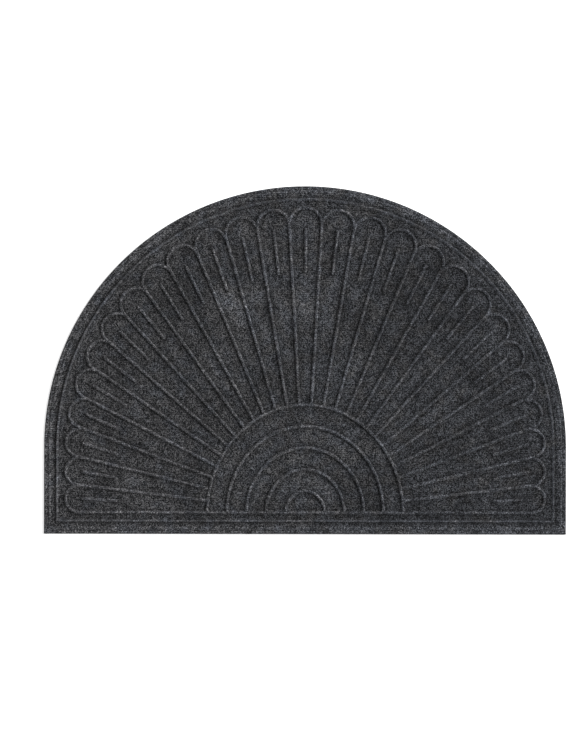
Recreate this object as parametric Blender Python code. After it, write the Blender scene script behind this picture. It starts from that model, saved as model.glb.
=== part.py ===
"""Half moon doormat: one sheet of needle-punched felt, pressed with a fan of 27 petals.

Metres, +Z up. The mat lies flat on z = 0, with its straight edge along X at the low Y side
and its round edge towards +Y. The origin is under the middle of its outline.
"""

import math

import bmesh
import bpy
from mathutils import Vector
from mathutils.geometry import delaunay_2d_cdt

MM = 0.001

# Outline: a half round standing on a low rectangle with square corners
WIDTH = 900 * MM
DEPTH = 600 * MM
ROUND_RADIUS = WIDTH / 2
STRAIGHT_EDGE_Y = -DEPTH / 2
ROUND_CENTRE_Y = DEPTH / 2 - ROUND_RADIUS
ROUND_STEPS = 60

# Heights above the floor
FLOOR_OF_FIELD = 5.3 * MM
CREST_OF_RIB = 8.0 * MM
PETAL_CROWN = 0.7 * MM
BAND_CROWN = 0.5 * MM

# Cross-section of every rib, measured to each side of its middle line
CREST_HALF_WIDTH = 1.2 * MM
FOOT_HALF_WIDTH = 3.5 * MM

# Rim profile: how far in from the cut edge, and how high
RIM_PROFILE = (
    ("cut edge", 0.0 * MM, 3.4 * MM),
    ("rounded edge", 0.8 * MM, 4.2 * MM),
    ("flange", 6.0 * MM, 4.2 * MM),
    ("fine dip", 7.2 * MM, 3.9 * MM),
    ("fine bead", 9.0 * MM, 5.0 * MM),
    ("slope", 12.0 * MM, 4.5 * MM),
    ("groove, outer side", 17.6 * MM, 3.7 * MM),
    ("groove, inner side", 19.0 * MM, 3.7 * MM),
    ("bead crest, outer side", 20.7 * MM, CREST_OF_RIB),
    ("bead crest, inner side", 22.9 * MM, CREST_OF_RIB),
    ("bead foot", 25.2 * MM, FLOOR_OF_FIELD),
)

# Fan: petals between rays from one centre, each with a round tip that touches both of its rays
PETALS = 27
FAN_CENTRE_Y = STRAIGHT_EDGE_Y + 37.5 * MM
RAY_STRETCH = 1.033
TIP_INSET = 37.5 * MM
TIP_INSET_BETWEEN = 4.0 * MM
TIP_STEPS = 12
SCALLOP_STEPS = 10
RAY_STATIONS = 5

# Spine: the short straight rib near each tip, as shares of the petal's reach
SPINE_START = 0.79
SPINE_END = 0.93
SPINE_CAP_STEPS = 4

# Arches: five half rounds, one inside the other, standing on the fan's base line
ARCHES = 5
ARCH_ACROSS = 33.7 * MM
ARCH_UP = 37.1 * MM
ARCH_STEPS_LEAST = 8
ARCH_STEPS_MORE = 5

# Finish
FELT_COLOUR = (0.043, 0.043, 0.049, 1.0)
FELT_ROUGHNESS = 0.95
SHARP_EDGE = math.radians(30)

CLOSE = 0.5 * MM
SAME_POINT = 0.001 * MM
HALVINGS = 40
QUARTER = math.pi / 2
INSIDE_ONLY = 1


def spread(start, end, steps):
    """Evenly spaced values from start to end, both included."""
    return [start + (end - start) * step / steps for step in range(steps + 1)]


def on_circle(centre, radius, turn):
    return (centre[0] + radius * math.cos(turn), centre[1] + radius * math.sin(turn))


def from_fan(distance, direction, aside=0.0):
    """A point so far out from the fan's centre, and so far to the left of that line."""
    x = distance * math.cos(direction) - aside * math.sin(direction)
    y = distance * math.sin(direction) + aside * math.cos(direction)
    return (x, FAN_CENTRE_Y + y)


def without_repeats(points):
    """The same loop with each point that falls on the one before it left out."""
    kept = []
    for point in points:
        if not kept or math.dist(point, kept[-1]) > CLOSE:
            kept.append(point)
    if math.dist(kept[0], kept[-1]) < CLOSE:
        kept.pop()
    return kept


def outline(inset):
    """The mat's outline moved inwards, which keeps its two corners square."""
    radius = ROUND_RADIUS - inset
    low = STRAIGHT_EDGE_Y + inset
    arc = [on_circle((0, ROUND_CENTRE_Y), radius, turn) for turn in spread(0, math.pi, ROUND_STEPS)]
    return arc + [(-radius, low), (radius, low)]


def ray_direction(number):
    """The direction of one ray. The rays lie a little closer together towards the top."""
    turn = math.pi * number / PETALS
    return math.atan2(RAY_STRETCH * math.sin(turn), math.cos(turn))


def petal_reach(direction):
    """How far a tip lies from the fan's centre: up to the outline, moved inwards."""
    inset = TIP_INSET + TIP_INSET_BETWEEN * math.sin(2 * direction) ** 2
    radius = ROUND_RADIUS - inset
    lift = ROUND_CENTRE_Y - FAN_CENTRE_Y
    to_round = lift * math.sin(direction) + math.sqrt(radius**2 - (lift * math.cos(direction)) ** 2)
    if to_round * math.sin(direction) < lift:
        return radius / abs(math.cos(direction))
    return to_round


class Petal:
    """One petal: the two rays beside it, and the circle at its tip that touches both."""

    def __init__(self, number):
        self.low = ray_direction(number)
        self.high = ray_direction(number + 1)
        self.axis = (self.low + self.high) / 2
        flare = math.sin((self.high - self.low) / 2)
        self.reach = petal_reach(self.axis)
        self.tip_radius = self.reach * flare / (1 + flare)
        self.tip_distance = self.reach - self.tip_radius
        self.tip = from_fan(self.tip_distance, self.axis)
        self.touch = math.sqrt(self.tip_distance**2 - self.tip_radius**2)


def arch_point(arch, turn, gap):
    """A point of one arch, moved outwards by the gap, or inwards if the gap is negative."""
    across, up = arch * ARCH_ACROSS, arch * ARCH_UP
    outward = Vector((math.cos(turn) / across, math.sin(turn) / up)).normalized()
    x = across * math.cos(turn) + gap * outward.x
    y = up * math.sin(turn) + gap * outward.y
    return (x, FAN_CENTRE_Y + y)


def arch_turn(arch, gap, direction, aside):
    """Where along an arch it lies so far to the left of a line through the fan's centre."""
    low = max(0.0, direction - QUARTER)
    high = min(math.pi, direction + QUARTER)
    for _ in range(HALVINGS):
        middle = (low + high) / 2
        x, y = arch_point(arch, middle, gap)
        if math.cos(direction) * (y - FAN_CENTRE_Y) - math.sin(direction) * x < aside:
            low = middle
        else:
            high = middle
    return (low + high) / 2


def arch_steps(arch):
    return ARCH_STEPS_LEAST + ARCH_STEPS_MORE * arch


def petal_loop(petal, gap):
    """The inside of a petal, the gap away from the middle of every rib around it."""
    radius = petal.tip_radius - gap
    tip = [
        on_circle(petal.tip, radius, turn)
        for turn in spread(petal.low - QUARTER, petal.high + QUARTER, TIP_STEPS)
    ]
    high_turn = arch_turn(ARCHES, gap, petal.high, -gap)
    low_turn = arch_turn(ARCHES, gap, petal.low, gap)
    inner = [arch_point(ARCHES, turn, gap) for turn in spread(high_turn, low_turn, 2)]
    down = ray_stations(tip[-1], inner[0])
    up = ray_stations(inner[-1], tip[0])
    return tip + down + inner + up


def ray_stations(start, end):
    """Points between the two ends of a straight side."""
    shares = spread(0, 1, RAY_STATIONS)[1:-1]
    return [tuple(Vector(start).lerp(Vector(end), share)) for share in shares]


def band_loop(band, gap):
    """The inside of the band under one arch and over the next smaller one."""
    low = arch_turn(band + 1, -gap, 0, gap)
    loop = [
        arch_point(band + 1, turn, -gap)
        for turn in spread(low, math.pi - low, arch_steps(band + 1))
    ]
    if band > 0:
        low = arch_turn(band, gap, 0, gap)
        loop += [arch_point(band, turn, gap) for turn in spread(math.pi - low, low, arch_steps(band))]
    return loop


def spine_loop(petal, gap):
    """The outline of a spine, the gap away from its middle line."""
    near = from_fan(SPINE_START * petal.reach, petal.axis)
    far = from_fan(SPINE_END * petal.reach, petal.axis)
    far_cap = spread(petal.axis - QUARTER, petal.axis + QUARTER, SPINE_CAP_STEPS)
    near_cap = spread(petal.axis + QUARTER, petal.axis + 3 * QUARTER, SPINE_CAP_STEPS)
    return [on_circle(far, gap, turn) for turn in far_cap] + [
        on_circle(near, gap, turn) for turn in near_cap
    ]


def scallop_corner(first, second, gap):
    """Where the outlines of two neighbouring petals meet, both moved outwards by the gap."""
    start, end = Vector(first.tip), Vector(second.tip)
    apart = (end - start).length
    towards = (end - start) / apart
    outward = Vector((towards.y, -towards.x))
    first_radius, second_radius = first.tip_radius + gap, second.tip_radius + gap
    along = (apart**2 + first_radius**2 - second_radius**2) / (2 * apart)
    corner = start + along * towards + math.sqrt(first_radius**2 - along**2) * outward
    ray = Vector((math.cos(first.high), math.sin(first.high)))
    out = (corner - Vector((0, FAN_CENTRE_Y))).dot(ray)
    if out < second.touch:
        return from_fan(first.touch + 2 * math.sqrt(first.tip_radius * gap), first.high, -gap)
    if out < first.touch:
        return from_fan(second.touch + 2 * math.sqrt(second.tip_radius * gap), first.high, gap)
    return tuple(corner)


def turn_about(petal, point):
    """The direction of a point seen from the middle of a petal's tip, near the petal's own axis."""
    away = math.atan2(point[1] - petal.tip[1], point[0] - petal.tip[0]) - petal.axis
    return petal.axis + math.remainder(away, 2 * math.pi)


def fan_outline(petals, gap):
    """The scalloped outline of the whole fan with its straight base, moved outwards by the gap."""
    corners = [scallop_corner(first, second, gap) for first, second in zip(petals, petals[1:])]
    loop = []
    for number, petal in enumerate(petals):
        start, end = petal.low - QUARTER, petal.high + QUARTER
        if number > 0:
            start = max(start, turn_about(petal, corners[number - 1]))
        if number < PETALS - 1:
            end = min(end, turn_about(petal, corners[number]))
        loop += [
            on_circle(petal.tip, petal.tip_radius + gap, turn)
            for turn in spread(start, end, SCALLOP_STEPS)
        ]
        loop += corners[number : number + 1]
    return without_repeats(loop)


def petal_crown(petal):
    """Points along a petal's middle line, where its floor is highest."""
    clear = petal.tip_radius / 2
    inner = math.dist((0, FAN_CENTRE_Y), arch_point(ARCHES, petal.axis, 0)) + clear
    outer = SPINE_START * petal.reach - clear
    past_spine = (1 + SPINE_END) / 2 * petal.reach
    stations = spread(inner, outer, RAY_STATIONS) + [past_spine]
    return [from_fan(station, petal.axis) for station in stations]


class Relief:
    """The top face as seen from above: loops and points, each with its height."""

    def __init__(self):
        self.plan = []
        self.heights = []
        self.edges = []

    def add_points(self, points, height):
        self.plan += [Vector(point) for point in points]
        self.heights += [height] * len(points)

    def add_loop(self, points, height):
        first = len(self.plan)
        count = len(points)
        self.add_points(points, height)
        self.edges += [(first + i, first + (i + 1) % count) for i in range(count)]

    def add_rib_sides(self, make_loop, foot_height):
        """The edge of a rib's crest and its foot, from one function that takes the gap."""
        self.add_loop(make_loop(CREST_HALF_WIDTH), CREST_OF_RIB)
        self.add_loop(make_loop(FOOT_HALF_WIDTH), foot_height)

    def surface(self):
        """Points in space and the triangles between them."""
        plan, _, faces, origins, _, _ = delaunay_2d_cdt(
            self.plan, self.edges, [], INSIDE_ONLY, SAME_POINT
        )
        points = [(at.x, at.y, self.heights[origin[0]]) for at, origin in zip(plan, origins)]
        return points, faces


def pressed_relief():
    """Everything that the press leaves in the top face."""
    relief = Relief()
    for _, inset, height in RIM_PROFILE:
        relief.add_loop(outline(inset), height)
    petals = [Petal(number) for number in range(PETALS)]
    relief.add_rib_sides(lambda gap: fan_outline(petals, gap), FLOOR_OF_FIELD)
    for petal in petals:
        relief.add_rib_sides(lambda gap: petal_loop(petal, gap), FLOOR_OF_FIELD)
        relief.add_rib_sides(lambda gap: spine_loop(petal, gap), FLOOR_OF_FIELD + PETAL_CROWN)
        relief.add_points(petal_crown(petal), FLOOR_OF_FIELD + PETAL_CROWN)
    for band in range(ARCHES):
        relief.add_rib_sides(lambda gap: band_loop(band, gap), FLOOR_OF_FIELD)
        middle = [
            arch_point(band + 0.5, turn, 0)
            for turn in spread(0, math.pi, arch_steps(band))[1:-1]
        ]
        relief.add_points(middle, FLOOR_OF_FIELD + BAND_CROWN)
    return relief


def felt():
    """Charcoal heather felt."""
    material = bpy.data.materials.new("charcoal_felt")
    material.use_nodes = True
    shader = material.node_tree.nodes["Principled BSDF"]
    shader.inputs["Base Color"].default_value = FELT_COLOUR
    shader.inputs["Roughness"].default_value = FELT_ROUGHNESS
    shader.inputs["Metallic"].default_value = 0.0
    return material


def solid_under(points, faces):
    """Closes the top face downwards with a cut edge and a flat underside at z = 0."""
    form = bmesh.new()
    corners = [form.verts.new(point) for point in points]
    for face in faces:
        form.faces.new([corners[i] for i in face])
    rim = [edge for edge in form.edges if edge.is_boundary]
    wall = bmesh.ops.extrude_edge_only(form, edges=rim)["geom"]
    for item in wall:
        if isinstance(item, bmesh.types.BMVert):
            item.co.z = 0.0
    low_edges = [edge for edge in form.edges if edge.is_boundary]
    bmesh.ops.contextual_create(form, geom=low_edges)
    bmesh.ops.recalc_face_normals(form, faces=form.faces)
    return form


def build_mat():
    form = solid_under(*pressed_relief().surface())
    mesh = bpy.data.meshes.new("mat")
    form.to_mesh(mesh)
    form.free()
    mesh.shade_smooth()
    mesh.set_sharp_from_angle(angle=SHARP_EDGE)
    mat = bpy.data.objects.new("mat", mesh)
    mesh.materials.append(felt())
    bpy.context.scene.collection.objects.link(mat)
    return mat


for thing in list(bpy.data.objects):
    bpy.data.objects.remove(thing, do_unlink=True)
build_mat()
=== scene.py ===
# %% [markdown]
# # A half moon doormat of pressed felt
# The real mat is one sheet of needle-punched felt. A heated press squeezes it and leaves the rim,
# the fan of petals, the arches and their ribs standing, and then the half moon is cut out.
# The sheet could be sculpted by hand, but its pattern follows rules: rays from one centre, round
# tips, and arches one inside the other. So the flat sheet is drawn by formula first, and a small
# Geometry Nodes press then lifts it by its distance from each rib, as the real plate does.

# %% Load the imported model, which fixes every size and place
import math
import random

import bmesh
import bpy
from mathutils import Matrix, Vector, kdtree
from mathutils.geometry import delaunay_2d_cdt


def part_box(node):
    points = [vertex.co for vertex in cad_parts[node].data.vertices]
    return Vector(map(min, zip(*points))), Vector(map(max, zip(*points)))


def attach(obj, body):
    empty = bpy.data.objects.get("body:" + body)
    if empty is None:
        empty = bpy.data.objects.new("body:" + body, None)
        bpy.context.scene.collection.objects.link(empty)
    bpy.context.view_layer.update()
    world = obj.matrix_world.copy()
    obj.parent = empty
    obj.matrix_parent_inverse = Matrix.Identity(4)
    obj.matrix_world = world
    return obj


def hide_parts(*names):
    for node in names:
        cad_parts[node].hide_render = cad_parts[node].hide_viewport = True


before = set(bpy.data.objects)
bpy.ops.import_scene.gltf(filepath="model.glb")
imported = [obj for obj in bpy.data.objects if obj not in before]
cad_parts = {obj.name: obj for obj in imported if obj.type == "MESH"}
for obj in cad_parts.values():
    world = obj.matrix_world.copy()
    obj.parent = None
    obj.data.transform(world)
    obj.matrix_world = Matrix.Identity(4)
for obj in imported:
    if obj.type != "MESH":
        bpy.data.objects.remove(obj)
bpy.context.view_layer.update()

MM = 0.001
QUARTER = math.pi / 2
MAT_LOW, MAT_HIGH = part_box("mat")
print("The mat's solid reaches from", tuple(MAT_LOW), "to", tuple(MAT_HIGH), "metres")

# %% [markdown]
# ## Helpers for nodes, materials and colours
# Materials and the press are both trees of nodes. One small function adds any kind of node, sets it
# and links it, so each tree below reads from top to bottom like a recipe.
# Colours are picked as sRGB hex values, as in a paint program. Shaders work with linear light, so
# one function turns the first into the second.

# %% Add a node with its settings, its values and its links
def set_values(node, values):
    for socket, value in values.items():
        node.inputs[socket].default_value = value


def add_node(tree, kind, settings=None, values=None, links=None):
    """Settings are the node's own properties. Values and links go to its inputs, by name or number."""
    node = tree.nodes.new(kind)
    for name, value in (settings or {}).items():
        setattr(node, name, value)
    set_values(node, values or {})
    for socket, source in (links or {}).items():
        tree.links.new(source, node.inputs[socket])
    return node


# %% Add a sum on values that are each a socket or a number
def sum_in(tree, operation, *values):
    numbers = {place: value for place, value in enumerate(values) if isinstance(value, (int, float))}
    sockets = {place: value for place, value in enumerate(values) if place not in numbers}
    return add_node(tree, "ShaderNodeMath", {"operation": operation}, numbers, sockets).outputs["Value"]


# %% Start a material or a tree, and put a thing in the scene
def new_material(name, values):
    """A material, its node tree and its shader, with these values on the shader."""
    material = bpy.data.materials.new(name)
    material.use_nodes = True
    shader = material.node_tree.nodes["Principled BSDF"]
    set_values(shader, values)
    return material, material.node_tree, shader


def new_geometry_tree(name, inputs):
    """A Geometry Nodes tree with these inputs beside its geometry, and what they give."""
    tree = bpy.data.node_groups.new(name, "GeometryNodeTree")
    for side in ("OUTPUT", "INPUT"):
        tree.interface.new_socket("Geometry", in_out=side, socket_type="NodeSocketGeometry")
    for socket, kind in inputs:
        tree.interface.new_socket(socket, in_out="INPUT", socket_type="NodeSocket" + kind)
    return tree, add_node(tree, "NodeGroupInput").outputs


def put_in_scene(name, data):
    made = bpy.data.objects.new(name, data)
    bpy.context.scene.collection.objects.link(made)
    return made


# %% Turn an sRGB hex value into linear colour
SRGB_TOE = 0.04045
SRGB_TOE_SLOPE = 12.92
SRGB_OFFSET = 0.055
SRGB_POWER = 2.4


def linear_colour(hex_value):
    channels = [int(hex_value[i : i + 2], 16) / 255 for i in (1, 3, 5)]
    linear = [
        c / SRGB_TOE_SLOPE if c <= SRGB_TOE else ((c + SRGB_OFFSET) / (1 + SRGB_OFFSET)) ** SRGB_POWER
        for c in channels
    ]
    return (*linear, 1.0)


print("Mid grey #808080 is", round(linear_colour("#808080")[0], 3), "in linear light")

# %% [markdown]
# ## Camera
# The photograph looks straight down on the mat, with its straight edge at the bottom of the picture.
# The camera hangs high above the floor with a long lens, so the mat's low relief shows no slant. The
# mat stands a little right of and above the middle of the picture, so the camera hangs left of it.

# %% The camera above the mat
CAMERA_HEIGHT = 2600 * MM
CAMERA_LEFT = 29.7 * MM
CAMERA_DOWN = 25.6 * MM
CAMERA_TURN = 0.002
LENS_MM = 72.3
SENSOR_MM = 36.0

camera_data = bpy.data.cameras.new("camera")
camera_data.lens = LENS_MM
camera_data.sensor_width = SENSOR_MM
camera = put_in_scene("camera", camera_data)
camera.location = (-CAMERA_LEFT, -CAMERA_DOWN, CAMERA_HEIGHT)
camera.rotation_euler = (0.0, 0.0, CAMERA_TURN)
bpy.context.scene.camera = camera
print("The camera hangs", CAMERA_HEIGHT, "m above the floor, with a lens of", LENS_MM, "mm")

# %% [markdown]
# ## Floor and light
# A studio shows such a mat on a white table that is lit from within, so no shadow falls round it:
# the floor here glows a little. The sky's even light fills every groove, and one large lamp far
# out on the right brings out the ribs: their right sides catch it, and their left feet stay dark.

# %% A plain white floor that glows
FLOOR_HALF = 60.0
FLOOR_BELOW = 0.2 * MM
FLOOR_WHITE = "#FAFAFA"
PLAIN_WHITE = (1.0, 1.0, 1.0, 1.0)
TABLE_GLOW = 0.55

floor_mesh = bpy.data.meshes.new("floor")
floor_mesh.from_pydata(
    [(x * FLOOR_HALF, y * FLOOR_HALF, -FLOOR_BELOW) for x, y in ((-1, -1), (1, -1), (1, 1), (-1, 1))],
    [],
    [(0, 1, 2, 3)],
)
floor = put_in_scene("floor", floor_mesh)
floor_paint, _, _ = new_material(
    "matt_white_floor_paint",
    {
        "Base Color": linear_colour(FLOOR_WHITE),
        "Roughness": 0.9,
        "Specular IOR Level": 0.0,
        "Emission Color": PLAIN_WHITE,
        "Emission Strength": TABLE_GLOW,
    },
)
floor_mesh.materials.append(floor_paint)
print("The floor is", 2 * FLOOR_HALF, "m square")

# %% The sky's even light
SKY_STRENGTH = 0.38

world = bpy.data.worlds.new("studio")
world.use_nodes = True
set_values(world.node_tree.nodes["Background"], {"Color": PLAIN_WHITE, "Strength": SKY_STRENGTH})
bpy.context.scene.world = world
bpy.context.scene.view_settings.view_transform = "Standard"

# %% The large lamp
LAMP_AWAY = 9.0
LAMP_SIDE = 5.2
LAMP_TURN = math.radians(22)
LAMP_RISE = math.radians(35)
LAMP_WATTS = 1080

lamp_data = bpy.data.lights.new("large_soft_lamp", "AREA")
lamp_data.shape = "DISK"
lamp_data.size = LAMP_SIDE
lamp_data.energy = LAMP_WATTS
lamp = put_in_scene("large_soft_lamp", lamp_data)
towards_lamp = Vector(
    (
        math.cos(LAMP_RISE) * math.cos(LAMP_TURN),
        math.cos(LAMP_RISE) * math.sin(LAMP_TURN),
        math.sin(LAMP_RISE),
    )
)
lamp.location = towards_lamp * LAMP_AWAY
lamp.rotation_euler = towards_lamp.to_track_quat("Z", "Y").to_euler()
print("The lamp stands at", [round(v, 2) for v in lamp.location])

# %% [markdown]
# ## The layout of the pressed pattern
# A press plate is engraved from a drawing, and these functions are that drawing. The outline is
# a half round on a low rectangle. The fan has 27 petals between rays from one centre, each with
# a round tip that touches both of its rays, and a short spine near the tip. Five arches stand
# one inside the other at the middle. Every line can be asked for with a gap, which moves
# it away from the rib's middle line. That is what the mesh needs to follow a rib closely.

# %% Sizes of the outline and the fan
ROUND_RADIUS = (MAT_HIGH[0] - MAT_LOW[0]) / 2
STRAIGHT_EDGE_Y = MAT_LOW[1]
ROUND_CENTRE_Y = MAT_HIGH[1] - ROUND_RADIUS
PETALS = 27
FAN_CENTRE_Y = STRAIGHT_EDGE_Y + 37.5 * MM
RAY_STRETCH = 1.033
TIP_INSET = 37.5 * MM
TIP_INSET_BETWEEN = 4.0 * MM
SPINE_START = 0.79
SPINE_END = 0.93
ARCHES = 5
ARCH_ACROSS = 33.7 * MM
ARCH_UP = 37.1 * MM
BEAD_INSET = 21.8 * MM
RIB_FOOT = 3.5 * MM

# %% How finely the lines are stepped
ALONG = 6 * MM
ROUND_STEPS = 236
PETAL_FOOT_STEPS = 3
TIP_STEPS = 20
SCALLOP_STEPS = 16
CAP_STEPS = 8
HALVINGS = 40
CLOSE = 0.3 * MM
SAME_POINT = 0.001 * MM


# %% Small helpers for points in the plane
def spread(start, end, steps):
    """Evenly spaced values from start to end, both included."""
    return [start + (end - start) * step / steps for step in range(steps + 1)]


def on_circle(centre, radius, turn):
    return (centre[0] + radius * math.cos(turn), centre[1] + radius * math.sin(turn))


def from_fan(distance, direction, aside=0.0):
    """A point so far out from the fan's centre, and so far to the left of that line."""
    x = distance * math.cos(direction) - aside * math.sin(direction)
    y = distance * math.sin(direction) + aside * math.cos(direction)
    return (x, FAN_CENTRE_Y + y)


def stepped(start, end):
    """Points between the two ends of a straight side, about one step apart."""
    steps = max(1, round(math.dist(start, end) / ALONG))
    return [tuple(Vector(start).lerp(Vector(end), share)) for share in spread(0, 1, steps)[1:-1]]


# %% The outline, moved inwards
def outline(inset):
    radius = ROUND_RADIUS - inset
    low = STRAIGHT_EDGE_Y + inset
    arc = [on_circle((0, ROUND_CENTRE_Y), radius, turn) for turn in spread(0, math.pi, ROUND_STEPS)]
    corners = [(-radius, low), (radius, low)]
    down = stepped(arc[-1], corners[0])
    along = stepped(*corners)
    up = stepped(corners[1], arc[0])
    return arc + down + corners[:1] + along + corners[1:] + up


print("The outline has", len(outline(0)), "points")


# %% The rays and the petals
def ray_direction(number):
    """The direction of one ray. The rays lie a little closer together towards the top."""
    turn = math.pi * number / PETALS
    return math.atan2(RAY_STRETCH * math.sin(turn), math.cos(turn))


def petal_reach(direction):
    """How far a tip lies from the fan's centre: up to the outline, moved inwards."""
    inset = TIP_INSET + TIP_INSET_BETWEEN * math.sin(2 * direction) ** 2
    radius = ROUND_RADIUS - inset
    lift = ROUND_CENTRE_Y - FAN_CENTRE_Y
    to_round = lift * math.sin(direction) + math.sqrt(radius**2 - (lift * math.cos(direction)) ** 2)
    if to_round * math.sin(direction) < lift:
        return radius / abs(math.cos(direction))
    return to_round


class Petal:
    """One petal: the two rays beside it, and the circle at its tip that touches both."""

    def __init__(self, number):
        self.low = ray_direction(number)
        self.high = ray_direction(number + 1)
        self.axis = (self.low + self.high) / 2
        flare = math.sin((self.high - self.low) / 2)
        self.reach = petal_reach(self.axis)
        self.tip_radius = self.reach * flare / (1 + flare)
        self.tip_distance = self.reach - self.tip_radius
        self.tip = from_fan(self.tip_distance, self.axis)
        self.touch = math.sqrt(self.tip_distance**2 - self.tip_radius**2)


petals = [Petal(number) for number in range(PETALS)]
print("The middle petal reaches", round(petals[PETALS // 2].reach / MM, 1), "mm from the fan's centre")


# %% The arches
def arch_point(arch, turn, gap):
    """A point of one arch, moved outwards by the gap, or inwards if the gap is negative."""
    across, up = arch * ARCH_ACROSS, arch * ARCH_UP
    outward = Vector((math.cos(turn) / across, math.sin(turn) / up)).normalized()
    x = across * math.cos(turn) + gap * outward.x
    y = up * math.sin(turn) + gap * outward.y
    return (x, FAN_CENTRE_Y + y)


def arch_turn(arch, gap, direction, aside):
    """Where along an arch it lies so far to the left of a line through the fan's centre."""
    low = max(0.0, direction - QUARTER)
    high = min(math.pi, direction + QUARTER)
    for _ in range(HALVINGS):
        middle = (low + high) / 2
        x, y = arch_point(arch, middle, gap)
        if math.cos(direction) * (y - FAN_CENTRE_Y) - math.sin(direction) * x < aside:
            low = middle
        else:
            high = middle
    return (low + high) / 2


def arch_steps(arch):
    return max(CAP_STEPS, round(math.pi * arch * ARCH_UP / ALONG))


# %% Loops inside a petal, a band and around a spine
def petal_loop(petal, gap):
    """The inside of a petal, the gap away from the middle of every rib around it."""
    radius = petal.tip_radius - gap
    turns = spread(petal.low - QUARTER, petal.high + QUARTER, TIP_STEPS)
    tip = [on_circle(petal.tip, radius, turn) for turn in turns]
    high_turn = arch_turn(ARCHES, gap, petal.high, -gap)
    low_turn = arch_turn(ARCHES, gap, petal.low, gap)
    inner = [arch_point(ARCHES, turn, gap) for turn in spread(high_turn, low_turn, PETAL_FOOT_STEPS)]
    return tip + stepped(tip[-1], inner[0]) + inner + stepped(inner[-1], tip[0])


def band_loop(band, gap):
    """The inside of the band under one arch and over the next smaller one."""
    low = arch_turn(band + 1, -gap, 0, gap)
    loop = [
        arch_point(band + 1, turn, -gap)
        for turn in spread(low, math.pi - low, arch_steps(band + 1))
    ]
    if band == 0:
        return loop + stepped(loop[-1], loop[0])
    low = arch_turn(band, gap, 0, gap)
    inner = [arch_point(band, turn, gap) for turn in spread(math.pi - low, low, arch_steps(band))]
    return loop + stepped(loop[-1], inner[0]) + inner + stepped(inner[-1], loop[0])


def spine_ends(petal):
    return [from_fan(share * petal.reach, petal.axis) for share in (SPINE_START, SPINE_END)]


def spine_loop(petal, gap):
    """The outline of a spine, the gap away from its middle line."""
    near, far = spine_ends(petal)
    far_turns = spread(petal.axis - QUARTER, petal.axis + QUARTER, CAP_STEPS)
    near_turns = spread(petal.axis + QUARTER, petal.axis + 3 * QUARTER, CAP_STEPS)
    far_cap = [on_circle(far, gap, turn) for turn in far_turns]
    near_cap = [on_circle(near, gap, turn) for turn in near_turns]
    return far_cap + stepped(far_cap[-1], near_cap[0]) + near_cap + stepped(near_cap[-1], far_cap[0])


# %% The scalloped outline of the whole fan
def scallop_corner(first, second, gap):
    """Where the outlines of two neighbouring petals meet, both moved outwards by the gap."""
    start, end = Vector(first.tip), Vector(second.tip)
    apart = (end - start).length
    towards = (end - start) / apart
    outward = Vector((towards.y, -towards.x))
    first_radius, second_radius = first.tip_radius + gap, second.tip_radius + gap
    along = (apart**2 + first_radius**2 - second_radius**2) / (2 * apart)
    lift = math.sqrt(max(0.0, first_radius**2 - along**2))
    corner = start + along * towards + lift * outward
    ray = Vector((math.cos(first.high), math.sin(first.high)))
    out = (corner - Vector((0, FAN_CENTRE_Y))).dot(ray)
    if out < second.touch:
        return from_fan(first.touch + 2 * math.sqrt(first.tip_radius * gap), first.high, -gap)
    if out < first.touch:
        return from_fan(second.touch + 2 * math.sqrt(second.tip_radius * gap), first.high, gap)
    return tuple(corner)


def turn_about(petal, point):
    """The direction of a point seen from the middle of a petal's tip, near the petal's own axis."""
    away = math.atan2(point[1] - petal.tip[1], point[0] - petal.tip[0]) - petal.axis
    return petal.axis + math.remainder(away, 2 * math.pi)


def without_repeats(points):
    """The same loop with each point that falls on the one before it left out."""
    kept = []
    for point in points:
        if not kept or math.dist(point, kept[-1]) > CLOSE:
            kept.append(point)
    if math.dist(kept[0], kept[-1]) < CLOSE:
        kept.pop()
    return kept


def fan_outline(gap):
    """The outline of the whole fan with its straight base, moved outwards by the gap."""
    corners = [scallop_corner(first, second, gap) for first, second in zip(petals, petals[1:])]
    loop = []
    for number, petal in enumerate(petals):
        start, end = petal.low - QUARTER, petal.high + QUARTER
        if number > 0:
            start = max(start, turn_about(petal, corners[number - 1]))
        if number < PETALS - 1:
            end = min(end, turn_about(petal, corners[number]))
        turns = spread(start, end, SCALLOP_STEPS)
        loop += [on_circle(petal.tip, petal.tip_radius + gap, turn) for turn in turns]
        loop += corners[number : number + 1]
    return without_repeats(loop + stepped(loop[-1], loop[0]))


print("The fan's outline has", len(fan_outline(RIB_FOOT)), "points")

# %% [markdown]
# ## The flat sheet
# Felt comes off the roll flat, so the sheet starts flat too. A press can only copy its plate
# where there is something to press: a mesh bends only at its points. So lines of points run
# beside every rib, less than a millimetre apart, and looser points fill the flats between. A
# triangulation that keeps the given lines, Blender's delaunay_2d_cdt, joins them all.

# %% Lines beside every rib, and along the rim
RIB_GAPS = [gap * MM for gap in (0.35, 0.9, 1.4, 1.8, 2.2, 2.55, 2.9, 3.3, 3.8, 4.6, 6.5)]
NARROW_GAPS = RIB_GAPS[:-2]
RIM_INSETS = [
    inset * MM
    for inset in (0, 0.5, 1.0, 2.5, 4.5, 5.8, 6.6, 7.2, 7.8, 8.4, 9.1, 9.8, 10.9, 12.5, 14.5)
    + (16.2, 17.4, 18.1, 18.7, 19.3, 19.9, 20.4, 20.9, 21.4, 21.8)
]

loops = [outline(inset) for inset in RIM_INSETS]
loops += [outline(BEAD_INSET + gap) for gap in RIB_GAPS]
loops += [fan_outline(gap) for gap in NARROW_GAPS]
for gap in RIB_GAPS:
    loops += [petal_loop(petal, gap) for petal in petals]
    loops += [band_loop(band, gap) for band in range(ARCHES)]
for gap in NARROW_GAPS:
    loops += [spine_loop(petal, gap) for petal in petals]
print(len(loops), "lines with", sum(len(loop) for loop in loops), "points in all")

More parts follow.
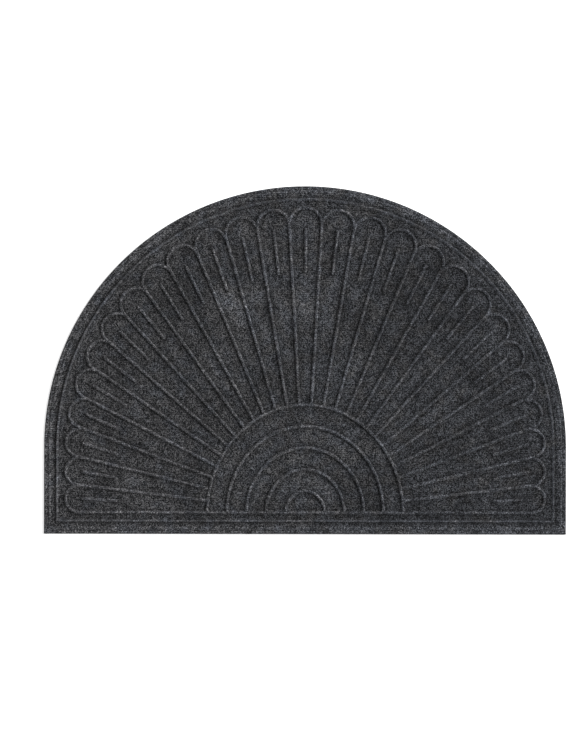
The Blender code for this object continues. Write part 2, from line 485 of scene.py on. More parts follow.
# %% Looser points in the flats
FILL_STEP = 6 * MM
FILL_CLEAR = 2.6 * MM
FILL_WANDER = 1.0 * MM
FILL_SEED = 11


def inside_mat(x, y):
    """True where a point lies within the bead of the rim."""
    if abs(x) > ROUND_RADIUS - BEAD_INSET or y < STRAIGHT_EDGE_Y + BEAD_INSET:
        return False
    return y < ROUND_CENTRE_Y or math.hypot(x, y - ROUND_CENTRE_Y) < ROUND_RADIUS - BEAD_INSET


near_lines = kdtree.KDTree(sum(len(loop) for loop in loops))
for number, point in enumerate(point for loop in loops for point in loop):
    near_lines.insert((*point, 0), number)
near_lines.balance()

wander = random.Random(FILL_SEED)
fill = []
for row in range(int((MAT_HIGH[1] - MAT_LOW[1]) / FILL_STEP)):
    for column in range(int((MAT_HIGH[0] - MAT_LOW[0]) / FILL_STEP)):
        x = MAT_LOW[0] + (column + 0.5 * (row % 2)) * FILL_STEP + wander.uniform(-1, 1) * FILL_WANDER
        y = MAT_LOW[1] + row * FILL_STEP + wander.uniform(-1, 1) * FILL_WANDER
        if inside_mat(x, y) and near_lines.find((x, y, 0))[2] > FILL_CLEAR:
            fill.append((x, y))
print(len(fill), "points fill the flats")

# %% Join them into one flat sheet
INSIDE_ONLY = 1

plan = []
plan_edges = []
for loop in loops:
    first = len(plan)
    plan += [Vector(point) for point in loop]
    plan_edges += [(first + i, first + (i + 1) % len(loop)) for i in range(len(loop))]
plan += [Vector(point) for point in fill]
flat_points, _, flat_faces, _, _, _ = delaunay_2d_cdt(plan, plan_edges, [], INSIDE_ONLY, SAME_POINT)

sheet_mesh = bpy.data.meshes.new("felt_mat")
sheet_mesh.from_pydata([(point.x, point.y, 0.0) for point in flat_points], [], flat_faces)
sheet_mesh.update()
felt_mat = put_in_scene("felt_mat", sheet_mesh)
print("The flat sheet has", len(sheet_mesh.vertices), "points and", len(flat_faces), "faces")

# %% [markdown]
# ## The plate's lines
# The press needs to know where the plate is engraved. Two helpers hold that: one has the middle
# line of every rib, the other the cut outline. They are only edges, and are deleted after use.

# %% The middle line of every rib, and the outline
def line_object(name, runs):
    """An object of bare edges. Each run is a list of points, and whether it closes on itself."""
    points = []
    edges = []
    for run, closed in runs:
        first = len(points)
        points += [(*point, 0.0) for point in run]
        last = len(run) if closed else len(run) - 1
        edges += [(first + i, first + (i + 1) % len(run)) for i in range(last)]
    mesh = bpy.data.meshes.new(name)
    mesh.from_pydata(points, edges, [])
    return put_in_scene(name, mesh)


rib_runs = [(petal_loop(petal, 0.0), True) for petal in petals]
rib_runs += [(band_loop(band, 0.0), True) for band in range(ARCHES)]
rib_runs += [(spine_ends(petal), False) for petal in petals]
rib_lines = line_object("rib_lines", rib_runs)
cut_line = line_object("cut_line", [(outline(0.0), True)])
print("The ribs' middle lines have", len(rib_lines.data.edges), "edges")

# %% [markdown]
# ## The press
# For each point of the sheet, the tree measures how far it lies from the nearest rib line and from
# the cut outline. Small curves hold the sections of the rib and of the rim, as a maker draws
# them, and give the height there. The flats bulge a little between ribs, and felt is never
# quite even, so slow noise moves every height by a fraction of a millimetre. The tree also keeps
# two marks for the material: where a crest gets a painted highlight, and where a crease gets
# painted shade.

# %% The sections of the rib and of the rim, in millimetres
RIB_REACH = 10.0
RIB_SECTION = (
    (0, 1.0), (0.9, 0.99), (1.4, 0.93), (1.9, 0.74), (2.3, 0.48), (2.7, 0.27), (3.2, 0.17),
    (4.2, 0.12), (6.0, 0.06), (8.0, 0.02), (RIB_REACH, 0.0),
)
# The painted highlight along a rib's crest, and the painted shade in the creases at its feet
CREST_REACH = 3.4
CREST_HIGHLIGHT_SECTION = ((0, 0.61), (1.0, 0.63), (1.6, 0.57), (2.2, 0.29), (2.8, 0.04), (CREST_REACH, 0.0))
CREASE_REACH = 13.0
CREASE_SHADE_SECTION = (
    (0, 0.0), (2.0, 0.0), (3.0, 0.7), (4.0, 1.0), (5.5, 0.85), (7.0, 0.6), (9.0, 0.46),
    (11.0, 0.24), (CREASE_REACH, 0.0),
)
RIM_REACH = 30.0
RIM_FADES = 27.0
RIM_TOP = 8.0
RIM_SECTION = (
    (0.0, 3.4), (0.5, 4.1), (1.2, 4.7), (3.5, 4.65), (5.8, 4.4), (6.8, 4.3), (7.7, 4.75),
    (8.5, 5.45), (9.2, 5.75), (9.8, 5.65), (11.0, 5.0), (13.5, 4.8), (17.0, 4.6), (18.8, 4.3),
    (19.8, 4.5), (20.6, 5.4), (21.4, 6.7), (22.0, 7.15), (22.8, 7.15), (23.4, 7.0), (24.8, 6.4),
    (26.4, 5.8), (28.2, 5.4), (RIM_REACH, 5.2),
)
# Painted shade in the rim's grooves and at the bead's inner foot
RIM_SHADE = (
    (0.0, 0.0), (4.6, 0.0), (5.8, 0.4), (7.2, 0.2), (8.2, 0.0), (10.4, 0.0), (13.0, 0.25),
    (16.0, 0.45), (18.2, 0.85), (20.3, 0.85), (21.5, 0.2), (22.2, 0.0), (24.4, 0.1), (25.6, 1.0),
    (28.0, 0.8), (RIM_REACH, 0.6),
)
# Painted highlight on the rim's flange, its ridge and the bead. The curve node cuts off what
# passes 1, so the painted highlight is even along the bead's top
RIM_HIGHLIGHT = (
    (0.0, 0.3), (4.4, 0.3), (5.8, 0.2), (7.4, 0.35), (8.6, 0.68), (10.2, 0.62), (11.6, 0.25),
    (15.0, 0.08), (18.0, 0.0), (20.6, 0.0), (21.4, 0.6), (22.0, 1.12), (24.0, 1.12), (25.4, 0.3),
    (26.4, 0.0), (RIM_REACH, 0.0),
)


# %% A curve node from such a section
def draw_section(node, section, reach, top=1.0):
    """Puts a section's points on a Float Curve node, both axes as shares of reach and top."""
    curve = node.mapping.curves[0]
    while len(curve.points) > 2:
        curve.points.remove(curve.points[1])
    ends = section[0], section[-1]
    for point, (along, height) in zip((curve.points[0], curve.points[-1]), ends):
        point.location = (along / reach, height / top)
    for along, height in section[1:-1]:
        curve.points.new(along / reach, height / top)
    node.mapping.update()


# %% Build the press as a tree of nodes
PRESS_INPUTS = (
    ("Rib lines", "Object"), ("Cut line", "Object"), ("Felt", "Material"),
    ("Field height", "Float"), ("Crest height", "Float"), ("Crown", "Float"),
    ("Crown reach", "Float"), ("Slow unevenness", "Float"), ("Quick unevenness", "Float"),
    ("Seed", "Float"),
)
press, given = new_geometry_tree("press_the_felt", PRESS_INPUTS)
place = add_node(press, "GeometryNodeInputPosition").outputs["Position"]


def distance_to(lines):
    """How far each point of the sheet lies from the nearest of these edges."""
    edges = add_node(press, "GeometryNodeObjectInfo", links={"Object": lines}).outputs["Geometry"]
    nearest = add_node(press, "GeometryNodeProximity", {"target_element": "EDGES"}, links={0: edges})
    return nearest.outputs["Distance"]


to_rib = distance_to(given["Rib lines"])
to_cut = distance_to(given["Cut line"])

# %% Read the sections at those distances
def section_at(distance, section, reach, top=1.0):
    """The section's height, as a share of its top, at a distance in metres."""
    share = add_node(
        press,
        "ShaderNodeMapRange",
        values={"From Min": 0.0, "From Max": reach * MM},
        links={"Value": distance},
    )
    curve = add_node(press, "ShaderNodeFloatCurve", links={"Value": share.outputs["Result"]})
    draw_section(curve, section, reach, top)
    return curve.outputs["Value"]


rib_share = section_at(to_rib, RIB_SECTION, RIB_REACH)
rib_crest = section_at(to_rib, CREST_HIGHLIGHT_SECTION, CREST_REACH)
rib_crease = section_at(to_rib, CREASE_SHADE_SECTION, CREASE_REACH)
rim_share = section_at(to_cut, RIM_SECTION, RIM_REACH, RIM_TOP)
rim_crease = section_at(to_cut, RIM_SHADE, RIM_REACH)
rim_crest = section_at(to_cut, RIM_HIGHLIGHT, RIM_REACH)
on_rim = add_node(
    press,
    "ShaderNodeMapRange",
    values={"From Min": RIM_REACH * MM, "From Max": RIM_FADES * MM},
    links={"Value": to_cut},
).outputs["Result"]

# %% Heights of the field, the ribs and the crown
CROWN_START = 3.2 * MM

crown_share = add_node(
    press,
    "ShaderNodeMapRange",
    {"interpolation_type": "SMOOTHSTEP"},
    {"From Min": CROWN_START},
    {"Value": to_rib, "From Max": given["Crown reach"]},
).outputs["Result"]
rib_rise = sum_in(press, "SUBTRACT", given["Crest height"], given["Field height"])
rib_height = sum_in(press, "MULTIPLY", rib_share, rib_rise)
crown_height = sum_in(press, "MULTIPLY", crown_share, given["Crown"])
field_height = sum_in(press, "ADD", rib_height, crown_height)
field_height = sum_in(press, "ADD", field_height, given["Field height"])
rim_height = sum_in(press, "MULTIPLY", rim_share, RIM_TOP * MM)


def on_rim_or_field(rim_value, field_value):
    """The first value on the rim, and the second inside it."""
    return add_node(
        press,
        "ShaderNodeMix",
        {"data_type": "FLOAT"},
        links={"Factor": on_rim, "A": field_value, "B": rim_value},
    ).outputs["Result"]


height = on_rim_or_field(rim_height, field_height)
# Marks for the painted highlight on crests and the painted shade in creases
crest = on_rim_or_field(rim_crest, rib_crest)
crease = on_rim_or_field(rim_crease, rib_crease)

# %% Unevenness, and the marks for the material
SLOW_WAVE = 55 * MM
QUICK_WAVE = 13 * MM
for wave, name in ((SLOW_WAVE, "Slow unevenness"), (QUICK_WAVE, "Quick unevenness")):
    noise = add_node(
        press,
        "ShaderNodeTexNoise",
        {"noise_dimensions": "4D"},
        {"Scale": 1 / wave, "Detail": 1.0},
        {"Vector": place, "W": given["Seed"]},
    )
    centred = sum_in(press, "SUBTRACT", noise.outputs[0], 0.5)
    height = sum_in(press, "ADD", height, sum_in(press, "MULTIPLY", centred, given[name]))

apart = add_node(press, "ShaderNodeSeparateXYZ", links={"Vector": place})
raised = add_node(
    press,
    "ShaderNodeCombineXYZ",
    links={"X": apart.outputs["X"], "Y": apart.outputs["Y"], "Z": height},
)
shape = given["Geometry"]
for name, value in (("crest", crest), ("crease", crease)):
    shape = add_node(
        press,
        "GeometryNodeStoreNamedAttribute",
        {"data_type": "FLOAT", "domain": "POINT"},
        {"Name": name},
        {"Geometry": shape, "Value": value},
    ).outputs["Geometry"]
shape = add_node(
    press,
    "GeometryNodeSetPosition",
    links={"Geometry": shape, "Position": raised.outputs["Vector"]},
).outputs["Geometry"]
shape = add_node(press, "GeometryNodeRealizeInstances", links={"Geometry": shape}).outputs["Geometry"]
shape = add_node(
    press,
    "GeometryNodeSetMaterial",
    links={"Geometry": shape, "Material": given["Felt"]},
).outputs["Geometry"]
add_node(press, "NodeGroupOutput", links={"Geometry": shape})
print("The press has", len(press.nodes), "nodes")

# %% [markdown]
# ## The felt
# Needle-punched felt is made of short polypropylene fibres, coloured before they are spun. Black,
# charcoal and pale grey ones are blended and punched through each other with barbed needles, so
# the face is a fine speckle, the heather, with no weave and no gloss. The fibres lie another way
# every few millimetres: strands of noise run along that lay, and fray the ends of the tufts.
# Real fibres are a tenth as wide as these strands, too fine for any picture of the whole mat, so
# they are drawn coarser. The ribs' crests get a painted highlight, and the creases beside them
# painted shade.
# The colour could be painted, but noise of these sizes holds up from every side.

# %% Colours and sizes of the heather
BLACK_FIBRE = "#08090B"
CHARCOAL_FIBRE = "#1E1F21"
GREY_FIBRE = "#353639"
PALE_FIBRE = "#6D6E72"
CLUSTER_SIZE = 8.0 * MM
TUFT_LONG = 1.9 * MM
TUFT_WIDE = 0.85 * MM
TUFT_RAGGED = 2.4 * MM
STRAND_LONG = 3.0 * MM
STRAND_WIDE = 0.3 * MM
LAY_SIZE = 5.0 * MM
LAY_RAGGED = 2.5 * MM
ROW_PITCH = 3.7 * MM
ROW_WANDER = 1.6
TINT_SIZE = 22 * MM

# Matted polypropylene hardly shines, which the eye reads as dry, dull felt
POLYPROPYLENE_IOR = 1.49
FELT_SURFACE = {
    "IOR": POLYPROPYLENE_IOR,
    "Roughness": 0.95,
    "Metallic": 0.0,
    "Specular IOR Level": 0.15,
    "Sheen Weight": 0.03,
    "Sheen Roughness": 0.6,
}
felt, felt_tree, felt_shader = new_material("needle_punched_polypropylene_felt", FELT_SURFACE)
own_place = add_node(felt_tree, "ShaderNodeTexCoord").outputs["Object"]
# Where the press put the crests' painted highlight and the creases' painted shade
crest_highlight_mark = add_node(felt_tree, "ShaderNodeAttribute", {"attribute_name": "crest"}).outputs["Fac"]
crease_shade_mark = add_node(felt_tree, "ShaderNodeAttribute", {"attribute_name": "crease"}).outputs["Fac"]

# %% Clusters of alike fibres
clusters = add_node(
    felt_tree,
    "ShaderNodeTexNoise",
    values={"Scale": 1 / CLUSTER_SIZE, "Detail": 1.0, "Roughness": 0.6},
    links={"Vector": own_place},
).outputs[0]

# %% Which way the fibres lie changes every few millimetres
ragged = add_node(
    felt_tree,
    "ShaderNodeTexNoise",
    values={"Scale": 1 / LAY_RAGGED, "Detail": 1.0},
    links={"Vector": own_place},
).outputs["Color"]
lay_place = add_node(
    felt_tree,
    "ShaderNodeVectorMath",
    {"operation": "MULTIPLY_ADD"},
    {1: (LAY_RAGGED, LAY_RAGGED, LAY_RAGGED)},
    {0: ragged, 2: own_place},
).outputs["Vector"]
lay = add_node(
    felt_tree,
    "ShaderNodeTexVoronoi",
    values={"Scale": 1 / LAY_SIZE},
    links={"Vector": lay_place},
).outputs["Color"]
lay_turn = add_node(felt_tree, "ShaderNodeSeparateColor", links={"Color": lay}).outputs["Red"]
laid = add_node(
    felt_tree,
    "ShaderNodeVectorRotate",
    {"rotation_type": "Z_AXIS"},
    links={"Vector": own_place, "Angle": sum_in(felt_tree, "MULTIPLY", lay_turn, 2 * math.pi)},
).outputs["Vector"]

# %% Strands along that lay, and tufts whose ends they fray
strand_place = add_node(
    felt_tree,
    "ShaderNodeVectorMath",
    {"operation": "MULTIPLY"},
    {1: (1 / STRAND_LONG, 1 / STRAND_WIDE, 1 / STRAND_LONG)},
    {0: laid},
).outputs["Vector"]
strands = add_node(
    felt_tree,
    "ShaderNodeTexNoise",
    values={"Scale": 1.0, "Detail": 1.0},
    links={"Vector": strand_place},
).outputs[0]
frayed = add_node(
    felt_tree,
    "ShaderNodeCombineXYZ",
    links={"X": sum_in(felt_tree, "MULTIPLY", strands, TUFT_RAGGED)},
).outputs["Vector"]
tuft_place = add_node(
    felt_tree,
    "ShaderNodeVectorMath",
    {"operation": "ADD"},
    links={0: laid, 1: frayed},
).outputs["Vector"]
tuft_place = add_node(
    felt_tree,
    "ShaderNodeVectorMath",
    {"operation": "MULTIPLY"},
    {1: (1 / TUFT_LONG, 1 / TUFT_WIDE, 1 / TUFT_LONG)},
    {0: tuft_place},
).outputs["Vector"]
tufts = add_node(
    felt_tree,
    "ShaderNodeTexVoronoi",
    values={"Scale": 1.0},
    links={"Vector": tuft_place},
).outputs["Color"]
tuft_shade = add_node(felt_tree, "ShaderNodeSeparateColor", links={"Color": tufts}).outputs["Red"]

# %% Rows of needle marks, and the blend
CLUSTER_SHARE = 0.55
TUFT_SHARE = 1.3
STRAND_SHARE = 1.1
ROW_SHARE = 0.07
CREST_CALM = 0.5
HEATHER_STOPS = ((0.0, BLACK_FIBRE), (0.45, CHARCOAL_FIBRE), (0.75, GREY_FIBRE), (1.0, PALE_FIBRE))

own_axes = add_node(felt_tree, "ShaderNodeSeparateXYZ", links={"Vector": own_place}).outputs
row_phase = sum_in(felt_tree, "MULTIPLY", own_axes["Y"], 2 * math.pi / ROW_PITCH)
rows = sum_in(felt_tree, "SINE", sum_in(felt_tree, "MULTIPLY_ADD", clusters, ROW_WANDER, row_phase))
speckle = sum_in(felt_tree, "MULTIPLY", rows, ROW_SHARE)
for share, pattern in ((CLUSTER_SHARE, clusters), (TUFT_SHARE, tuft_shade), (STRAND_SHARE, strands)):
    centred = sum_in(felt_tree, "SUBTRACT", pattern, 0.5)
    speckle = sum_in(felt_tree, "MULTIPLY_ADD", centred, share, speckle)
contrast = sum_in(felt_tree, "MULTIPLY_ADD", crest_highlight_mark, -CREST_CALM, 1.0)
speckle = sum_in(felt_tree, "MULTIPLY_ADD", speckle, contrast, 0.5)
heather = add_node(felt_tree, "ShaderNodeValToRGB", links={"Fac": speckle})
heather.color_ramp.elements[1].position = HEATHER_STOPS[-1][0]
for position, _ in HEATHER_STOPS[1:-1]:
    heather.color_ramp.elements.new(position)
for stop, (_, colour) in zip(heather.color_ramp.elements, HEATHER_STOPS):
    stop.color = linear_colour(colour)

# %% Painted highlight on crests, painted shade in creases, and slow clouds over the whole face
# How much the painted highlight lightens the crests, and the painted shade darkens the creases
CREST_HIGHLIGHT = 1.8
CREASE_SHADE = 0.4
# The face's colour gets darker towards the right, by this share a metre
DARKER_TOWARDS_RIGHT = -0.28
FACE_LEVEL = 0.925
# Each cloud's size and depth
CLOUDS = ((60 * MM, 0.95), (26 * MM, 0.6))
# Each patch's middle and reach in millimetres, and how much paler or darker it makes the face
PALER_AND_DARKER_PATCHES = (
    (-125, 95, 65, 0.5), (0, 105, 70, 0.4), (-205, 110, 90, -0.2), (175, 70, 170, -0.18),
    (125, -230, 70, -0.22), (320, -80, 90, -0.12), (-400, -215, 70, 0.3), (-275, -240, 80, 0.3),
    (-40, -170, 130, 0.12), (0, 245, 110, 0.14), (-245, -20, 120, -0.1), (400, -150, 50, 0.2),
)

shade = sum_in(felt_tree, "MULTIPLY_ADD", own_axes["X"], DARKER_TOWARDS_RIGHT, FACE_LEVEL)
for size, depth in CLOUDS:
    cloud = add_node(
        felt_tree,
        "ShaderNodeTexNoise",
        values={"Scale": 1 / size, "Detail": 2.0},
        links={"Vector": own_place},
    ).outputs[0]
    centred = sum_in(felt_tree, "SUBTRACT", cloud, 0.5)
    shade = sum_in(felt_tree, "MULTIPLY_ADD", centred, depth, shade)
for x, y, reach, paler in PALER_AND_DARKER_PATCHES:
    away = add_node(
        felt_tree,
        "ShaderNodeVectorMath",
        {"operation": "DISTANCE"},
        {1: (x * MM, y * MM, MAT_HIGH[2])},
        {0: own_place},
    ).outputs["Value"]
    patch_tone = add_node(
        felt_tree,
        "ShaderNodeMapRange",
        {"interpolation_type": "SMOOTHSTEP"},
        {"From Min": reach * MM, "From Max": 0.0, "To Max": paler},
        {"Value": away},
    ).outputs["Result"]
    shade = sum_in(felt_tree, "ADD", shade, patch_tone)
# Painted highlight on the crests and painted shade in the creases
for mark, change in ((crest_highlight_mark, CREST_HIGHLIGHT), (crease_shade_mark, -CREASE_SHADE)):
    factor = sum_in(felt_tree, "MULTIPLY_ADD", mark, change, 1.0)
    shade = sum_in(felt_tree, "MULTIPLY", shade, factor)

# %% Trodden-in dust tints some patches browner and leaves others bluer
DUSTY = "#FFFCF8"
CLEAN = "#F8FBFF"
TINT_CONTRAST = 4.0
TINT_ACROSS = 1.5

patches = add_node(
    felt_tree,
    "ShaderNodeTexNoise",
    values={"Scale": 1 / TINT_SIZE, "Detail": 1.0},
    links={"Vector": own_place},
).outputs[0]
centred = sum_in(felt_tree, "SUBTRACT", patches, 0.5)
cleaner = sum_in(felt_tree, "MULTIPLY_ADD", centred, TINT_CONTRAST, 0.5)
cleaner = sum_in(felt_tree, "MULTIPLY_ADD", own_axes["X"], TINT_ACROSS, cleaner)
dust = add_node(
    felt_tree,
    "ShaderNodeMix",
    {"data_type": "RGBA"},
    {"A": linear_colour(DUSTY), "B": linear_colour(CLEAN)},
    {"Factor": cleaner},
)
colour = heather.outputs["Color"]
for factor in (shade, dust.outputs["Result"]):
    colour = add_node(
        felt_tree,
        "ShaderNodeMix",
        {"data_type": "RGBA", "blend_type": "MULTIPLY"},
        {"Factor": 1.0},
        {"A": colour, "B": factor},
    ).outputs["Result"]
felt_tree.links.new(colour, felt_shader.inputs["Base Color"])

# %% The fibres' own relief
FELT_BUMP = 0.5 * MM

relief = add_node(
    felt_tree,
    "ShaderNodeBump",
    values={"Strength": 0.7, "Distance": FELT_BUMP},
    links={"Height": speckle},
)
felt_tree.links.new(relief.outputs["Normal"], felt_shader.inputs["Normal"])
print("The felt's material has", len(felt_tree.nodes), "nodes")

# %% [markdown]
# ## The back
# The back of such a mat isn't on show, so it is kept plain: felt that a thin dark coat of latex
# has bonded, level and faintly grained. It is a second finish on the same sheet.

# %% Latex-bonded back
BACK_COLOUR = "#232426"
BACK_PALER = "#2F3032"
BACK_GRAIN = 1.6 * MM
BACK_BUMP = 0.15 * MM

# Latex soaks into the felt, which gives the eye a darker, slightly smoother skin
back, back_tree, back_shader = new_material("latex_bonded_back", {"Roughness": 0.7})
back_place = add_node(back_tree, "ShaderNodeTexCoord").outputs["Object"]
grain = add_node(
    back_tree,
    "ShaderNodeTexNoise",
    values={"Scale": 1 / BACK_GRAIN, "Detail": 2.0},
    links={"Vector": back_place},
).outputs[0]
back_mix = add_node(
    back_tree,
    "ShaderNodeMix",
    {"data_type": "RGBA"},
    {"A": linear_colour(BACK_COLOUR), "B": linear_colour(BACK_PALER)},
    {"Factor": grain},
)
back_tree.links.new(back_mix.outputs["Result"], back_shader.inputs["Base Color"])
back_relief = add_node(
    back_tree,
    "ShaderNodeBump",
    values={"Strength": 0.5, "Distance": BACK_BUMP},
    links={"Height": grain},
)
back_tree.links.new(back_relief.outputs["Normal"], back_shader.inputs["Normal"])

# %% [markdown]
# ## Pressing the sheet
# The modifier's inputs are set by identifier before anything is evaluated. Then the pressed
# result becomes a plain mesh, and the modifier and the plate's lines go.

# %% Set the press and take its result
def run_tree(tree, holder, settings):
    """Runs a tree on an object, which is then a plain mesh without empty material slots."""
    modifier = holder.modifiers.new(tree.name, "NODES")
    modifier.node_group = tree
    names = {item.name: item.identifier for item in tree.interface.items_tree if item.in_out == "INPUT"}
    for name, value in settings.items():
        modifier[names[name]] = value
    bpy.context.view_layer.update()
    evaluated = holder.evaluated_get(bpy.context.evaluated_depsgraph_get())
    made = bpy.data.meshes.new_from_object(evaluated)
    made.name = holder.name
    for number in reversed(range(len(made.materials))):
        if made.materials[number] is None:
            made.materials.pop(index=number)
    holder.modifiers.clear()
    holder.data = made


PRESS_SETTINGS = {
    "Rib lines": rib_lines,
    "Cut line": cut_line,
    "Felt": felt,
    "Field height": 5.2 * MM,
    "Crest height": 8.0 * MM,
    "Crown": 0.3 * MM,
    "Crown reach": 13.0 * MM,
    "Slow unevenness": 0.5 * MM,
    "Quick unevenness": 0.35 * MM,
    "Seed": 4.0,
}
run_tree(press, felt_mat, PRESS_SETTINGS)
for helper in (rib_lines, cut_line):
    bpy.data.objects.remove(helper, do_unlink=True)
heights = [vertex.co.z for vertex in felt_mat.data.vertices]
print("Pressed heights run from", round(min(heights) / MM, 2), "to", round(max(heights) / MM, 2), "mm")

# %% [markdown]
# ## The cut edge
# A blade cuts the half moon out, which leaves a low upright edge of felt. Here the face's open
# border is drawn down to the floor in a few rows, each a hair off the line, as cut fibres are, and
# one level face closes the back. The sheet also gets a flat map, as if it were laid on graph
# paper: the face over most of it, the back in a strip above, and the edge unrolled on top.

# %% Draw the edge down and close the back
EDGE_HEIGHTS = (2.3 * MM, 1.1 * MM, 0.0)
EDGE_ROUGH = 0.15 * MM
EDGE_SEED = 23

cut = random.Random(EDGE_SEED)
form = bmesh.new()
form.from_mesh(felt_mat.data)
for low in EDGE_HEIGHTS:
    border = [edge for edge in form.edges if edge.is_boundary]
    drawn = bmesh.ops.extrude_edge_only(form, edges=border)["geom"]
    for corner in [item for item in drawn if isinstance(item, bmesh.types.BMVert)]:
        rough = 0.0 if low == 0.0 else EDGE_ROUGH
        corner.co.x += cut.uniform(-rough, rough)
        corner.co.y += cut.uniform(-rough, rough)
        corner.co.z = low
bmesh.ops.contextual_create(form, geom=[edge for edge in form.edges if edge.is_boundary])
bmesh.ops.recalc_face_normals(form, faces=form.faces)

# %% Map the face, the back and the edge, and give the back its finish
MAP_NAME = "OFBake"
MAP_SIDES = (0.002, 0.998)
FACE_STRIP = (0.002, 0.86)
BACK_STRIP = (0.88, 0.96)
EDGE_STRIP = (0.975, 0.995)
BACK_FACES_DOWN = -0.9
# Only the rows drawn down at the edge have faces of four corners
EDGE_CORNERS = 4
SHARP_EDGE = math.radians(60)


def strip_place(strip, share):
    return strip[0] + (strip[1] - strip[0]) * min(max(share, 0.0), 1.0)


def turn_round(point):
    return math.atan2(point.y, point.x)


bake_map = form.loops.layers.uv.new(MAP_NAME)
for face in form.faces:
    face.smooth = True
    on_back = face.normal.z < BACK_FACES_DOWN
    on_edge = len(face.verts) == EDGE_CORNERS
    face.material_index = 1 if on_back else 0
    middle_turn = turn_round(face.calc_center_median())
    for loop in face.loops:
        point = loop.vert.co
        across = (point.x - MAT_LOW[0]) / (MAT_HIGH[0] - MAT_LOW[0])
        along = (point.y - MAT_LOW[1]) / (MAT_HIGH[1] - MAT_LOW[1])
        if on_edge:
            turn = middle_turn + math.remainder(turn_round(point) - middle_turn, 2 * math.pi)
            across = 0.5 + turn / (2 * math.pi)
            along = point.z / (MAT_HIGH[2] / 2)
        strip = BACK_STRIP if on_back else EDGE_STRIP if on_edge else FACE_STRIP
        loop[bake_map].uv = (strip_place(MAP_SIDES, across), strip_place(strip, along))
form.to_mesh(felt_mat.data)
form.free()
felt_mat.data.materials.append(back)
felt_mat.data.set_sharp_from_angle(angle=SHARP_EDGE)
print("The whole mat has", len(felt_mat.data.polygons), "faces")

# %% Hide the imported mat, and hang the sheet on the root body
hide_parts("mat")
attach(felt_mat, "root")

# %% [markdown]
# ## Loose fibres
# Punching and wear leave fibre ends standing out of the face, and the palest of them are the salt
# in its speckle. Tens of thousands of real fibres could be grown as hair, but the export keeps
# only meshes, so each one is a closed sliver of six faces, bent once, with both ends sunk in the
# felt. They are wider than real fibres, which would vanish in a picture of the whole mat.
# Geometry Nodes scatter them over the face, fewer on the crests, and give each its own
# turn, size, shade, and square of a map.

# %% One fibre
FIBRE_LENGTH = 3.4 * MM
FIBRE_WIDTH = 0.2 * MM
FIBRE_LIFT = 0.22 * MM
FIBRE_BEND = 0.5 * MM
FIBRE_SUNK = 0.15 * MM
FIBRE_SIDES = 3
FACE_ON_SQUARE = ((0.15, 0.15), (0.85, 0.15), (0.5, 0.85))


def one_fibre(name):
    """A sliver that tapers to both ends, with three sides, bent aside and upwards at its middle."""
    ends = [(-FIBRE_LENGTH / 2, 0.0, -FIBRE_SUNK), (FIBRE_LENGTH / 2, 0.0, -FIBRE_SUNK)]
    middle = [
        (0.0, FIBRE_BEND + FIBRE_WIDTH / 2 * math.cos(turn), FIBRE_LIFT + FIBRE_WIDTH / 2 * math.sin(turn))
        for turn in spread(QUARTER, QUARTER + 2 * math.pi, FIBRE_SIDES)[:-1]
    ]
    faces = []
    for side in range(FIBRE_SIDES):
        this, following = 2 + side, 2 + (side + 1) % FIBRE_SIDES
        faces += [(0, following, this), (1, this, following)]
    mesh = bpy.data.meshes.new(name)
    mesh.from_pydata(ends + middle, [], faces)
    form = bmesh.new()
    form.from_mesh(mesh)
    bmesh.ops.recalc_face_normals(form, faces=form.faces)
    square = form.loops.layers.uv.new(MAP_NAME)
    for face in form.faces:
        for loop, corner in zip(face.loops, FACE_ON_SQUARE):
            loop[square].uv = corner
    form.to_mesh(mesh)
    form.free()
    return put_in_scene(name, mesh)


fibre = one_fibre("one_fibre")

# %% Scatter them over the face
SCATTER_INPUTS = (
    ("Fibre", "Object"), ("Fibre colour", "Material"), ("Fibres per square metre", "Float"),
    ("Fewer on crests", "Float"), ("Lowest root", "Float"), ("Squares on a side", "Float"),
    ("Seed", "Int"),
)
# The least and the most of a fibre's turn, in radians, and of its size
FIBRE_TURNS = ((-0.1, -0.1, 0.0), (0.1, 0.1, 2 * math.pi))
FIBRE_SIZES = ((0.5, 0.7, 0.7), (1.3, 1.2, 1.2))

scatter, wanted = new_geometry_tree("scatter_fibres", SCATTER_INPUTS)
root = add_node(
    scatter,
    "ShaderNodeSeparateXYZ",
    links={"Vector": add_node(scatter, "GeometryNodeInputPosition").outputs["Position"]},
).outputs
on_crest = add_node(scatter, "GeometryNodeInputNamedAttribute", values={"Name": "crest"}).outputs[0]
spared = sum_in(scatter, "MULTIPLY", on_crest, wanted["Fewer on crests"])
kept_share = sum_in(scatter, "SUBTRACT", 1.0, spared)
density = sum_in(scatter, "MULTIPLY", kept_share, wanted["Fibres per square metre"])
spots = add_node(
    scatter,
    "GeometryNodeDistributePointsOnFaces",
    links={
        "Mesh": wanted["Geometry"],
        "Selection": sum_in(scatter, "GREATER_THAN", root["Z"], wanted["Lowest root"]),
        "Density": density,
        "Seed": wanted["Seed"],
    },
)
any_turn, any_size = (
    add_node(
        scatter,
        "FunctionNodeRandomValue",
        {"data_type": "FLOAT_VECTOR"},
        {"Min": least, "Max": most},
        {"Seed": wanted["Seed"]},
    ).outputs["Value"]
    for least, most in (FIBRE_TURNS, FIBRE_SIZES)
)
turned = add_node(
    scatter,
    "FunctionNodeRotateRotation",
    {"rotation_space": "LOCAL"},
    links={"Rotation": spots.outputs["Rotation"], "Rotate By": any_turn},
)
fibre_shape = add_node(scatter, "GeometryNodeObjectInfo", links={"Object": wanted["Fibre"]})
copies = add_node(
    scatter,
    "GeometryNodeInstanceOnPoints",
    links={
        "Points": spots.outputs["Points"],
        "Instance": fibre_shape.outputs["Geometry"],
        "Rotation": turned.outputs["Rotation"],
        "Scale": any_size,
    },
)

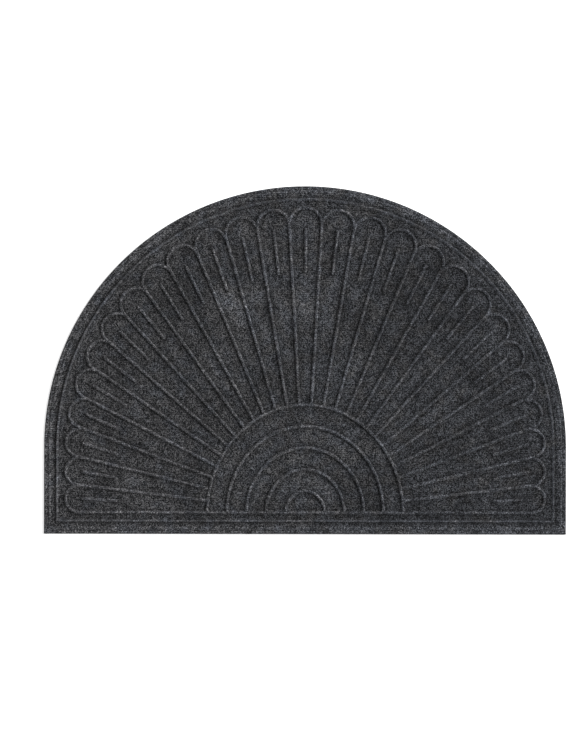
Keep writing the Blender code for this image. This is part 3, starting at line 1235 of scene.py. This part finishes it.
# %% Each fibre's shade, and its square of the map
any_shade = add_node(scatter, "FunctionNodeRandomValue", links={"Seed": wanted["Seed"]}).outputs[1]
number = add_node(scatter, "GeometryNodeInputIndex").outputs["Index"]
square_row = sum_in(scatter, "FLOOR", sum_in(scatter, "DIVIDE", number, wanted["Squares on a side"]))
square_column = sum_in(scatter, "FLOORED_MODULO", number, wanted["Squares on a side"])
square = add_node(scatter, "ShaderNodeCombineXYZ", links={"X": square_column, "Y": square_row})
copied = copies.outputs["Instances"]
for name, kind, value in (("shade", "FLOAT", any_shade), ("square", "FLOAT_VECTOR", square.outputs[0])):
    copied = add_node(
        scatter,
        "GeometryNodeStoreNamedAttribute",
        {"data_type": kind, "domain": "INSTANCE"},
        {"Name": name},
        {"Geometry": copied, "Value": value},
    ).outputs["Geometry"]
realized = add_node(scatter, "GeometryNodeRealizeInstances", links={"Geometry": copied}).outputs["Geometry"]
corner, own_square = (
    add_node(
        scatter,
        "GeometryNodeInputNamedAttribute",
        {"data_type": "FLOAT_VECTOR"},
        {"Name": name},
    ).outputs[0]
    for name in (MAP_NAME, "square")
)
moved = add_node(scatter, "ShaderNodeVectorMath", {"operation": "ADD"}, links={0: corner, 1: own_square})
fitted = add_node(
    scatter,
    "ShaderNodeVectorMath",
    {"operation": "DIVIDE"},
    links={0: moved.outputs["Vector"], 1: wanted["Squares on a side"]},
).outputs["Vector"]
mapped = add_node(
    scatter,
    "GeometryNodeStoreNamedAttribute",
    {"data_type": "FLOAT2", "domain": "CORNER"},
    {"Name": MAP_NAME},
    {"Geometry": realized, "Value": fitted},
).outputs["Geometry"]
coloured = add_node(
    scatter,
    "GeometryNodeSetMaterial",
    links={"Geometry": mapped, "Material": wanted["Fibre colour"]},
)
add_node(scatter, "NodeGroupOutput", links={"Geometry": coloured.outputs["Geometry"]})

# %% Two kinds of loose fibre
# Each kind's name, its darkest and its palest colour, and its seed
FIBRE_KINDS = (("pale_fibres", "#606165", "#8A8B8F", 5), ("grey_fibres", "#36373A", "#47484B", 6))
SCATTER_SETTINGS = {
    "Fibre": fibre,
    "Fibres per square metre": 62000.0,
    "Fewer on crests": 0.75,
    "Lowest root": 4.2 * MM,
    "Squares on a side": 176.0,
}
# Spun fibres are smoother than the felt, so those that stand out catch a little light
FIBRE_SURFACE = {"IOR": POLYPROPYLENE_IOR, "Roughness": 0.75, "Specular IOR Level": 0.3}

for name, darker, paler, seed in FIBRE_KINDS:
    stuff, stuff_tree, shader = new_material("spun_polypropylene_" + name, FIBRE_SURFACE)
    own_shade = add_node(stuff_tree, "ShaderNodeAttribute", {"attribute_name": "shade"}).outputs["Fac"]
    dye = add_node(
        stuff_tree,
        "ShaderNodeMix",
        {"data_type": "RGBA"},
        {"A": linear_colour(darker), "B": linear_colour(paler)},
        {"Factor": own_shade},
    )
    stuff_tree.links.new(dye.outputs["Result"], shader.inputs["Base Color"])
    holder = put_in_scene(name, felt_mat.data.copy())
    run_tree(scatter, holder, SCATTER_SETTINGS | {"Fibre colour": stuff, "Seed": seed})
    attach(holder, "root")
    print(name, "has", len(holder.data.polygons) // (2 * FIBRE_SIDES), "fibres")
bpy.data.objects.remove(fibre, do_unlink=True)
